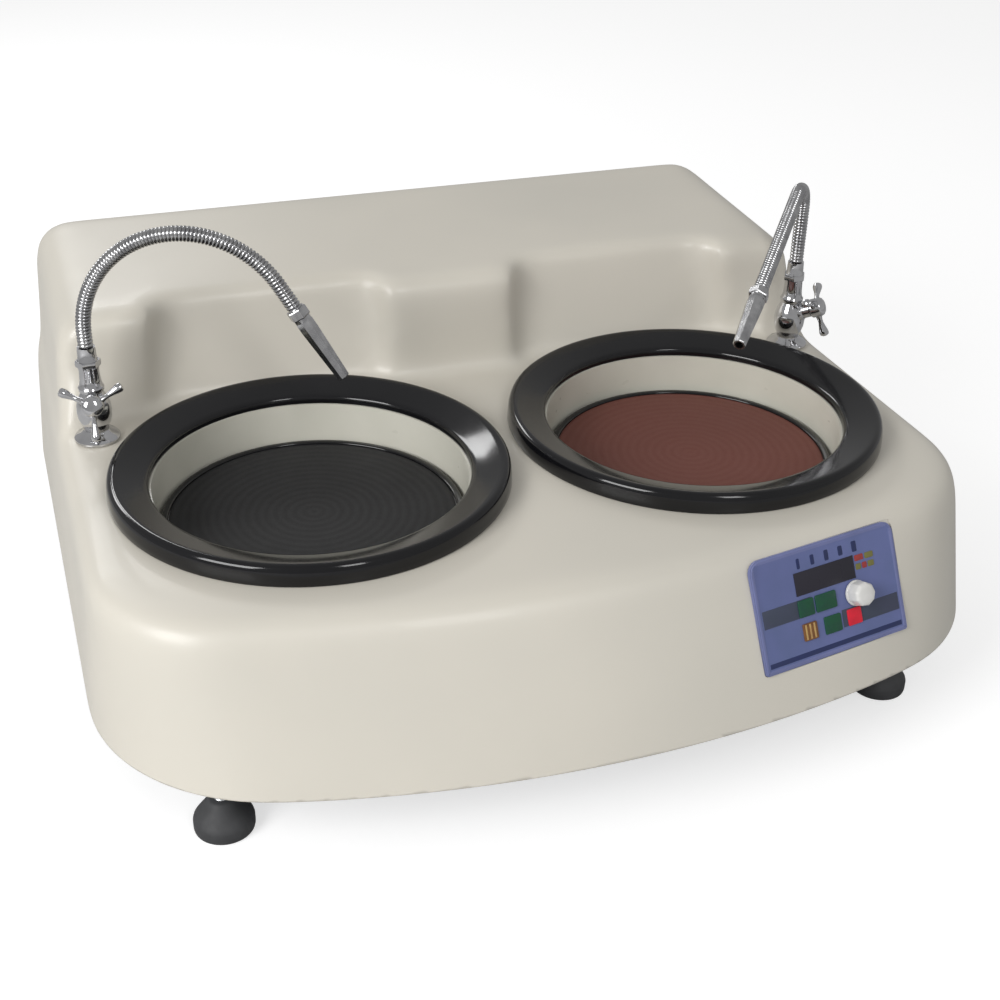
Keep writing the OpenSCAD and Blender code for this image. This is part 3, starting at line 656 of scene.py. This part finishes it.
@dataclass
class Station:
    """One working station: splash ring, clamp hoop and abrasive sheet."""

    side: Side
    sheet: Grit
    disc_x: float = 151.8
    disc_y: float = -53.0
    deck: float = 175.0
    paper_r: float = 105.0
    paper_z: float = 146.0

    def axis(self, height: float = 0.0) -> Matrix:
        """The disc's axis at a height."""
        return Matrix.Translation((self.side.sign * self.disc_x, self.disc_y, height))

    def ring(self) -> bpy.types.Object:
        """The polished splash ring: a cone inside, a crest, and a deep outer wall."""
        profile = [
            (115.4, 1.6), (115.25, 3.2), (115.6, 5.6), (116.3, 7.0), (117.6, 7.9), (119.5, 8.6),
            (128.0, 11.3), (136.0, 13.75), (138.6, 14.5), (140.2, 14.75), (141.8, 14.4),
            (143.0, 13.5), (143.9, 12.0), (144.5, 9.5), (144.9, 5.0), (145.0, 1.0), (144.6, 0.2),
            (140.8, 0.2), (140.5, 8.0), (137.0, 9.6), (123.2, 5.0), (122.3, 1.6),
        ]
        bm = placed(lathe(profile, 192), self.axis(self.deck + 0.3))
        return piece(bm, f"{self.side.value}_splash_ring", f"{self.side.value}_splash",
                     BLACK_GLOSS, (f"{self.side.value}_ring",), crease=48.0)

    def hoop(self) -> bpy.types.Object:
        """The clamp hoop round the disc's edge."""
        r, z = self.paper_r, self.paper_z
        profile = [(r + 2.05, z - 8), (r + 5.6, z - 8), (r + 6, z - 7.4), (r + 6, z - 0.4),
                   (r + 5.4, z + 0.7), (r + 4.4, z + 1.2), (r + 1.2, z + 1.2), (r + 0.5, z + 0.8),
                   (r + 0.3, z - 0.1), (r + 0.3, z - 0.95), (r + 2.05, z - 0.95)]
        return piece(placed(lathe(profile, 160), self.axis()), f"{self.side.value}_clamp_hoop",
                     f"{self.side.value}_disc", BLACK_GLOSS,
                     (f"{self.side.value}_hoop",), crease=48.0)

    def paper(self) -> bpy.types.Object:
        """The abrasive sheet, with a faint dish at its edge."""
        r, z = self.paper_r, self.paper_z
        profile = [(0, z - 1), (r - 0.2, z - 1), (r, z - 0.8), (r, z - 0.3), (r - 0.6, z - 0.05),
                   (r - 3, z), (r - 40, z - 0.02), (0, z)]
        return piece(placed(lathe(profile, 160, closed=False), self.axis()),
                     f"{self.side.value}_abrasive_sheet", f"{self.side.value}_disc",
                     self.sheet, (f"{self.side.value}_paper",), crease=48.0)

    def build(self) -> list[bpy.types.Object]:
        """Every piece of the station."""
        return [self.ring(), self.hoop(), self.paper()]


# ------------------------------------------------------------------ taps


@dataclass
class Tap:
    """A chrome tap with a three-armed handle and a bendable corrugated spout."""

    side: Side
    handle_turn: float
    spout_turn: float
    tap_x: float = 292.0
    tap_y: float = 54.0
    deck: float = 175.0
    hub_z: float = 203.0
    hub_tilt: float = 24.0
    hub_reach: float = 23.0
    collar_top: float = 251.0
    hose_r: float = 5.75
    groove_r: float = 4.75
    pitch: float = 2.7
    nozzle_l: float = 62.0

    def place(self, turn: float, height: float = 0.0) -> Matrix:
        """The tap's own frame, turned about its axis."""
        spot = Matrix.Translation((self.side.sign * self.tap_x, self.tap_y, height))
        return spot @ Matrix.Rotation(math.radians(turn), 4, "Z")

    def hub(self) -> Matrix:
        """The frame of the bonnet, with its axis along z."""
        lean = Matrix.Rotation(math.radians(90 - self.hub_tilt), 4, "Y")
        return self.place(self.handle_turn, self.hub_z) @ lean

    def valve(self) -> bpy.types.Object:
        """Foot, bulb, collar and bonnet."""
        d = self.deck
        column = [
            (0, d - 28.5), (7.7, d - 28.5), (7.7, d + 0.2), (16.0, d + 0.2), (17.0, d + 1.2),
            (17.0, d + 2.6), (15.2, d + 4.6), (11.6, d + 6.2), (9.4, d + 8.6), (9.6, d + 11.4),
            (11.4, d + 14.6), (12.6, d + 19.0), (13.0, d + 24.0), (12.5, d + 29.0),
            (11.2, d + 33.6), (9.2, d + 37.6), (8.3, d + 39.6), (9.4, d + 41.0), (9.6, d + 43.4),
            (8.4, d + 45.0), (7.7, d + 50.0), (7.4, d + 58.0), (8.1, d + 60.5), (8.1, d + 64.0),
            (7.0, d + 66.0), (6.6, d + 75.6), (0, d + 75.6),
        ]
        bonnet = [(0, 2.0), (8.2, 2.0), (8.4, 9.0), (7.6, 11.5), (6.6, 12.5), (6.5, 18.6), (0, 18.6)]
        collar = lathe([(0, 60.2), (9.1, 60.2), (9.4, 61.0), (9.4, 64.4), (9.1, 65.2), (0, 65.2)], 6, False)
        parts = [placed(lathe(column, 64, False), self.place(0)),
                 placed(lathe(bonnet, 48, False), self.hub()),
                 placed(collar, self.place(0, d))]
        return piece(joined(parts), f"{self.side.value}_tap_body", "frame", CHROME,
                     (f"{self.side.value}_tap",), crease=34.0)

    def handle(self) -> bpy.types.Object:
        """Domed hub and three waisted arms with rounded ends."""
        h = self.hub_reach
        cap = [(0, h - 3.7), (7.2, h - 3.7), (8.0, h - 2.8), (8.0, h + 4.6), (7.2, h + 6.4),
               (5.4, h + 7.6), (3.0, h + 8.2), (0, h + 8.3)]
        parts = [lathe(cap, 48, False)]
        arm = [(0, 4.0), (3.6, 4.0), (2.9, 7.5), (2.1, 11.0), (2.1, 14.0), (2.8, 17.5),
               (3.7, 21.0), (4.0, 23.2), (3.6, 25.0), (2.2, 25.9), (0, 26.0)]
        for k in range(3):
            flat = Matrix.Diagonal((1.0, 0.92, 1.0, 1.0))
            turn = Matrix.Rotation(math.radians(120 * k), 4, "Z")
            out = Matrix.Translation((0, 0, h + 0.8)) @ Matrix.Rotation(math.pi / 2, 4, "Y")
            parts.append(placed(lathe(arm, 24, False), turn @ out @ flat))
        return piece(placed(joined(parts), self.hub()), f"{self.side.value}_tap_arms",
                     f"{self.side.value}_valve", CHROME,
                     (f"{self.side.value}_tap_handle",), crease=34.0)

    def route(self) -> list[tuple[float, float, float]]:
        """The spout's middle line in its own upright plane.

        Returns:
            (x, z, turn in radians from upright) for stations a quarter of a groove apart.
        """
        if self.side is Side.LEFT:
            legs = [("run", 10.0, 0.0), ("bend", 79.0, 90.0), ("bend", 78.0, 58.0), ("run", 20.0, 0.0)]
        else:
            legs = [("run", 43.0, 0.0), ("bend", 26.0, 108.0), ("run", 123.0, 0.0)]
        x = z = turn = 0.0
        step = self.pitch / 4
        line = [(x, z, turn)]
        for kind, size, degrees in legs:
            length = size if kind == "run" else size * math.radians(degrees)
            count = max(round(length / step), 1)
            curve = 0.0 if kind == "run" else math.radians(degrees) / count
            for _ in range(count):
                middle = turn + curve / 2
                x += length / count * math.sin(middle)
                z += length / count * math.cos(middle)
                turn += curve
                line.append((x, z, turn))
        return line

    def station_matrix(self, spot: tuple[float, float, float]) -> Matrix:
        """The frame of one station of the route, with its axis along z."""
        x, z, turn = spot
        flat = Matrix.Translation((x, 0, z)) @ Matrix.Rotation(turn, 4, "Y")
        return self.place(self.spout_turn, self.collar_top) @ flat

    def spout(self) -> bpy.types.Object:
        """The corrugated hose: round ridges with a narrow groove between them."""
        bm = bmesh.new()
        radii = (self.groove_r, self.hose_r - 0.22, self.hose_r, self.hose_r - 0.22)
        line = self.route()
        before: list[bmesh.types.BMEdge] = []
        for k, spot in enumerate(line):
            made = bmesh.ops.create_circle(bm, cap_ends=k in (0, len(line) - 1), segments=20,
                                           radius=radii[k % 4], matrix=self.station_matrix(spot))
            edges = list({e for v in made["verts"] for e in v.link_edges})
            if before:
                bmesh.ops.bridge_loops(bm, edges=before + edges)
            before = edges
        bmesh.ops.recalc_face_normals(bm, faces=bm.faces[:])
        return piece(bm, f"{self.side.value}_corrugated_spout", f"{self.side.value}_spout_arm",
                     HOSE, (f"{self.side.value}_spout",), crease=70.0)

    def nozzle(self) -> bpy.types.Object:
        """Ferrule, and a long jet with flat sides."""
        end = self.nozzle_l
        ferrule = lathe([(0, 0.2), (7.4, 0.2), (7.95, 0.9), (7.95, 6.9), (7.3, 7.7), (0, 7.7)], 6, False)
        neck = lathe([(0, 7.6), (6.3, 7.6), (6.3, 10.4), (0, 10.4)], 32, False)
        jet = lathe([(3.2, end - 3), (3.2, end), (4.4, end), (4.9, end - 0.6), (6.9, 19.0),
                     (6.9, 11.2), (6.4, 10.3), (3.2, 10.3)], 8)
        matrix = self.station_matrix(self.route()[-1])
        return piece(placed(joined([ferrule, neck, jet]), matrix), f"{self.side.value}_jet",
                     f"{self.side.value}_spout_arm", NOZZLE,
                     (f"{self.side.value}_nozzle",), crease=28.0)

    def build(self) -> list[bpy.types.Object]:
        """Every piece of the tap."""
        return [self.valve(), self.handle(), self.spout(), self.nozzle()]


# ------------------------------------------------------------------ control panel


@dataclass
class Panel:
    """The sloping control panel: printed film, display, lamps, keys and speed knob."""

    width: float = 125.0
    height: float = 80.0
    face: float = -0.5
    corner: float = 9.0
    low_corner: float = 2.0
    border: float = 3.4

    @staticmethod
    def place() -> Matrix:
        """The panel's frame: x to the right, y inwards, z up the slope."""
        return (Matrix.Translation((165.0, -253.0, 134.0))
                @ Matrix.Rotation(math.radians(10), 4, "Z")
                @ Matrix.Rotation(math.radians(-25), 4, "X"))

    def inlay(self, name: str, at: Point, size: Point, finish: Finish, proud: float = 0.12,
              corner: float = 0.0, depth: float = 0.3) -> bpy.types.Object:
        """A thin printed or fitted area on the film.

        Args:
            name: the piece's name.
            at: its middle on the panel.
            size: its width and height.
            finish: its surface.
            proud: how far it stands above the film.
            corner: radius of its corners.
            depth: its thickness.

        Returns:
            The new object.
        """
        middle = self.face - proud + depth / 2
        bm = placed(plate((size[0], depth, size[1]), (at[0], middle, at[1]), corner), self.place())
        return piece(bm, name, "frame", finish, edge=0.05)

    def film(self) -> bpy.types.Object:
        """The film's body with its raised border."""
        back = 2.0
        thick = back - self.face
        base = plate((self.width, thick, self.height), (0, (back + self.face) / 2, 0), self.corner)
        shrink = self.low_corner / self.corner
        for v in base.verts:
            if v.co.z < 0:
                for axis, half in ((0, self.width / 2), (2, self.height / 2)):
                    short = half - abs(v.co[axis])
                    v.co[axis] = math.copysign(half - short * shrink, v.co[axis])
        front = [f for f in base.faces if f.normal.y < -0.9]
        bmesh.ops.inset_region(base, faces=front, thickness=0.8, depth=0.0)
        bmesh.ops.inset_region(base, faces=front, thickness=0.5, depth=0.3)
        bmesh.ops.inset_region(base, faces=front, thickness=self.border - 2.0, depth=0.0)
        bmesh.ops.inset_region(base, faces=front, thickness=0.7, depth=-0.3)
        for face in base.faces:
            c = face.calc_center_median()
            face.material_index = int(abs(c.x) > self.width / 2 - self.border
                                      or abs(c.z) > self.height / 2 - self.border)
        made = piece(placed(base, self.place()), "panel_film", "frame", FILM,
                     ("panel_fascia",), crease=24.0)
        made.data.materials.append(FILM_EDGE.material())
        return made

    def prints(self) -> list[bpy.types.Object]:
        """Bands, stripe, marks and lamps."""
        made = [
            self.inlay("left_band", (-37.2, -1.6), (41.6, 12.6), SLATE),
            self.inlay("right_band", (33.0, -18.0), (50.4, 12.4), SLATE),
            self.inlay("foot_stripe", (0.0, -34.0), (116.6, 3.4), NAVY),
            self.inlay("display_surround", (-1.5, 15.5), (52.2, 16.2), FRAME_DARK, 0.3),
        ]
        for k, (wide, tall) in enumerate(((2.6, 7.4), (3.2, 7.0), (3.6, 7.4), (3.8, 6.8), (4.2, 7.6))):
            made.append(self.inlay(f"mark_{k + 1}", (-22.2 + k * 12.3, 29.4), (wide, tall), NAVY, 0.12, 0.9))
        lamps = [(29.6, 20.8, 7.6, LAMP_RED), (38.6, 20.6, 7.4, LAMP_OLIVE),
                 (28.2, 14.6, 4.6, LAMP_OLIVE), (33.6, 14.5, 4.0, LAMP_RED),
                 (39.4, 14.4, 5.4, LAMP_OLIVE)]
        for k, (u, v, wide, finish) in enumerate(lamps):
            made.append(self.inlay(f"lamp_{k + 1}", (u, v), (wide, 4.2), finish, 0.35, 0.8, 0.6))
        return made

    def display(self) -> list[bpy.types.Object]:
        """The smoked window, with five digit cells."""
        made = [piece(placed(plate((49.6, 2.0, 13.6), (-1.5, 0.3, 15.5), 0.6), self.place()),
                      "display_glass", "frame", WINDOW, ("display_window",), edge=0.3)]
        for k in range(4):
            made.append(self.inlay(f"cell_line_{k + 1}", (-16.4 + k * 9.9, 15.5), (0.35, 12.4),
                                   FRAME_DARK, 0.36))
        return made

    def key(self, name: str, at: Point, size: Point, finish: Finish,
            slot: str) -> bpy.types.Object:
        """A key cap with softened edges.

        Args:
            name: the body's first word.
            at: the key's middle on the panel.
            size: its width and height.
            finish: its surface.
            slot: the record's material slot; not used.

        Returns:
            The new object.
        """
        top = self.face - 1.0
        cap = placed(plate((size[0], 3.1, size[1]), (at[0], top + 1.55, at[1]), 1.0), self.place())
        return piece(cap, f"{name}_key_cap", f"{name}_key", finish, (f"key_{name}",),
                     edge=0.4, crease=25.0)

    def keys(self) -> list[bpy.types.Object]:
        """All five keys, and the stripes on the amber one."""
        made = [
            self.key("up", (-21.4, -1.8), (13.4, 12.0), KEY_GREEN, "key_green"),
            self.key("down", (-4.2, -1.8), (18.0, 12.0), KEY_GREEN, "key_green"),
            self.key("start", (-1.2, -18.8), (14.6, 12.4), KEY_GREEN, "key_green"),
            self.key("stop", (18.0, -18.6), (12.2, 11.6), KEY_RED, "key_red"),
            self.key("mode", (-21.0, -18.6), (12.2, 12.2), KEY_AMBER, "key_amber"),
        ]
        for k, u in enumerate((-24.8, -21.2, -17.6)):
            bm = placed(plate((1.4, 0.3, 10.6), (u, self.face - 0.95, -18.6)), self.place())
            made.append(piece(bm, f"mode_stripe_{k + 1}", "mode_key", AMBER_STRIPE, edge=0.05))
        return made

    def knob(self) -> bpy.types.Object:
        """The speed knob: a shaft, and a tapered cap with broad flats."""
        towards = Matrix.Translation((22.0, 0, -2.8)) @ Matrix.Rotation(math.pi / 2, 4, "X")
        shaft = lathe([(0, -3.6), (3.1, -3.6), (3.1, 1.4), (0, 1.4)], 32, False)
        skirt = lathe([(0, 1.0), (9.2, 1.0), (9.2, 2.4), (8.9, 3.0), (0, 3.0)], 64, False)
        cap = lathe([(0, 2.9), (9.0, 2.9), (8.6, 11.0), (7.6, 12.6), (5.6, 13.3), (0, 13.3)], 9, False)
        bm = placed(joined([shaft, skirt, cap]), self.place() @ towards)
        return piece(bm, "speed_dial", "knob", KNOB_WHITE, ("speed_knob",),
                     edge=0.5, crease=25.0)

    def build(self) -> list[bpy.types.Object]:
        """Every piece of the panel."""
        return [self.film(), *self.prints(), *self.display(), *self.keys(), self.knob()]


# ------------------------------------------------------------------ feet and back


@dataclass
class Foot:
    """A rubber levelling foot on a threaded stud."""

    node: str
    body: str
    x: float
    y: float
    radius: float = 21.0

    def build(self) -> list[bpy.types.Object]:
        """The rubber pad and the stud."""
        r = self.radius
        place = Matrix.Translation((self.x, self.y, 0))
        pad = [(0, 0.4), (r - 6, 0.4), (r - 5, 0), (r - 1.6, 0), (r - 0.4, 0.8), (r, 2.4), (r, 8.2),
               (r - 0.5, 10.0), (r - 1.8, 12.0), (r - 5.5, 17.2), (r - 9.6, 22.6), (r - 11.4, 25.0),
               (r - 12.8, 26.0), (0, 26.0)]
        rubber = piece(placed(lathe(pad, 72, False), place), f"{self.node}_pad", self.body, RUBBER,
                       (self.node,), crease=50.0)
        thread = [(0.0, 25.6)]
        for k in range(38):
            z = 26.0 + k * 1.5
            thread += [(5.35, z), (5.95, z + 0.75)]
        thread += [(5.3, 83.0), (0.0, 83.0)]
        stud = piece(placed(lathe(thread, 32, False), place), f"{self.node}_stud", self.body,
                     STEEL, crease=70.0)
        return [rubber, stud]


@dataclass
class Back:
    """The rear connections, whose edges are softened."""

    edge: float = 0.6

    def build(self) -> list[bpy.types.Object]:
        """The pan, the mains inlet and the switch."""
        return [
            dressed_copy("rear_pan", "rear_panel_pan", "frame", STEEL, self.edge),
            dressed_copy("mains_inlet", "mains_socket_body", "frame", DARK_PLASTIC, self.edge),
            dressed_copy("switch_housing", "switch_bezel", "frame", DARK_PLASTIC, 0.4),
            dressed_copy("main_switch", "rocker_cap", "rocker", SWITCH_RED, 0.5),
        ]


def dress_nodes() -> None:
    """Gives every carried-over node the finish of its slot."""
    slots = {s["node"]: s["material_slot"] for s in frame["record"]["subparts"]}
    for name, node in frame["nodes"].items():
        finish = SLOT_FINISHES[slots[name]].material()
        node.data.materials.clear()
        node.data.materials.append(finish)
        LOG.info("node %s takes %s", name, finish.name)


# ------------------------------------------------------------------ studio


@dataclass
class Studio:
    """Pale floor, soft lamps and the camera."""

    lens: float = 54.3
    camera_at: tuple[float, float, float] = (-0.34228, -0.99402, 0.71520)
    camera_turn: tuple[float, float, float] = (1.041, -0.016, -0.333)
    world_level: float = 0.42

    def camera(self) -> None:
        """Sets up the camera."""
        data = bpy.data.cameras.new("camera")
        data.lens = self.lens
        data.sensor_width = 36.0
        data.clip_start = 0.02
        made = bpy.data.objects.new("camera", data)
        made.location = self.camera_at
        made.rotation_euler = self.camera_turn
        bpy.context.scene.collection.objects.link(made)
        bpy.context.scene.camera = made

    def lamp(self, name: str, at: tuple[float, float, float], size: Point, watts: float) -> None:
        """A soft rectangular lamp that faces the machine.

        Args:
            name: the lamp's name.
            at: its place in metres.
            size: its width and height.
            watts: its power.
        """
        data = bpy.data.lights.new(name, "AREA")
        data.shape = "RECTANGLE"
        data.size, data.size_y = size
        data.energy = watts
        made = bpy.data.objects.new(name, data)
        made.location = at
        made.rotation_euler = (Vector((0, 0, 0.12)) - Vector(at)).to_track_quat("-Z", "Y").to_euler()
        bpy.context.scene.collection.objects.link(made)

    def floor(self) -> None:
        """The floor, white to the camera where no shadow falls."""
        bm = bmesh.new()
        bmesh.ops.create_grid(bm, x_segments=4, y_segments=4, size=2.6)
        mesh = bpy.data.meshes.new("floor")
        bm.to_mesh(mesh)
        bm.free()
        made = bpy.data.objects.new("floor", mesh)
        bpy.context.scene.collection.objects.link(made)
        surface = bpy.data.materials.new("pale_floor")
        surface.use_nodes = True
        tree = surface.node_tree
        shader = tree.nodes["Principled BSDF"]
        shader.inputs["Base Color"].default_value = (0.55, 0.55, 0.55, 1.0)
        shader.inputs["Roughness"].default_value = 0.9
        shader.inputs["Specular IOR Level"].default_value = 0.1
        glow = tree.nodes.new("ShaderNodeEmission")
        glow.inputs["Strength"].default_value = 0.62
        path = tree.nodes.new("ShaderNodeLightPath")
        add = tree.nodes.new("ShaderNodeAddShader")
        mix = tree.nodes.new("ShaderNodeMixShader")
        out = tree.nodes["Material Output"]
        tree.links.new(shader.outputs["BSDF"], add.inputs[0])
        tree.links.new(glow.outputs["Emission"], add.inputs[1])
        tree.links.new(path.outputs["Is Camera Ray"], mix.inputs["Fac"])
        tree.links.new(shader.outputs["BSDF"], mix.inputs[1])
        tree.links.new(add.outputs["Shader"], mix.inputs[2])
        tree.links.new(mix.outputs["Shader"], out.inputs["Surface"])
        mesh.materials.append(surface)

    def world(self) -> None:
        """Even light from all round, and plain white to the camera."""
        world = bpy.data.worlds.new("studio")
        bpy.context.scene.world = world
        world.use_nodes = True
        tree = world.node_tree
        soft = tree.nodes["Background"]
        soft.inputs["Color"].default_value = (1.0, 1.0, 1.0, 1.0)
        soft.inputs["Strength"].default_value = self.world_level
        white = tree.nodes.new("ShaderNodeBackground")
        white.inputs["Color"].default_value = (1.0, 1.0, 1.0, 1.0)
        white.inputs["Strength"].default_value = 1.0
        path = tree.nodes.new("ShaderNodeLightPath")
        mix = tree.nodes.new("ShaderNodeMixShader")
        tree.links.new(path.outputs["Is Camera Ray"], mix.inputs["Fac"])
        tree.links.new(soft.outputs["Background"], mix.inputs[1])
        tree.links.new(white.outputs["Background"], mix.inputs[2])
        tree.links.new(mix.outputs["Shader"], tree.nodes["World Output"].inputs["Surface"])

    def build(self) -> None:
        """Sets up everything that isn't part of the machine."""
        bpy.context.scene.view_settings.view_transform = "Standard"
        self.camera()
        self.floor()
        self.world()
        self.lamp("key", (-1.75, -1.0, 1.25), (1.1, 0.9), 34.0)
        self.lamp("front", (0.2, -2.2, 1.9), (0.5, 1.0), 13.0)
        self.lamp("back", (-0.5, 1.8, 1.35), (1.0, 0.3), 8.0)


def main() -> None:
    """Builds the machine piece by piece."""
    logging.basicConfig(level=logging.INFO, format="%(name)s: %(message)s")
    Studio().build()
    dress_nodes()
    panel = Panel()
    made = [Case().build(Panel.place())]
    sheets = {
        Side.LEFT: Grit("dark_grit", (0.014, 0.014, 0.015), (0.03, 0.03, 0.031), 0.5, 0.05,
                        grain_scale=2600.0, grain_depth=0.2, axis_x=-151.8, axis_y=-53.0,
                        worn=(0.045, 0.045, 0.047), shine=0.12),
        Side.RIGHT: Grit("brown_grit", (0.12, 0.04, 0.03), (0.17, 0.063, 0.05), 0.55, 0.05,
                         grain_scale=2600.0, grain_depth=0.25, axis_x=151.8, axis_y=-53.0,
                         worn=(0.19, 0.08, 0.064), shine=0.2),
    }
    for side, sheet in sheets.items():
        made += Station(side, sheet).build()
    made += Tap(Side.LEFT, -95.0, -22.0).build()
    made += Tap(Side.RIGHT, -42.0, 229.7).build()
    made += panel.build()
    for across in (Side.LEFT, Side.RIGHT):
        for row, y in (("front", -202.0), ("rear", 235.0)):
            made += Foot(f"foot_{row}_{across.value}", f"{row}_{across.value}_foot",
                         across.sign * 255.0, y).build()
    made += Back().build()
    bpy.context.view_layer.update()


if __name__ == "__main__":
    main()
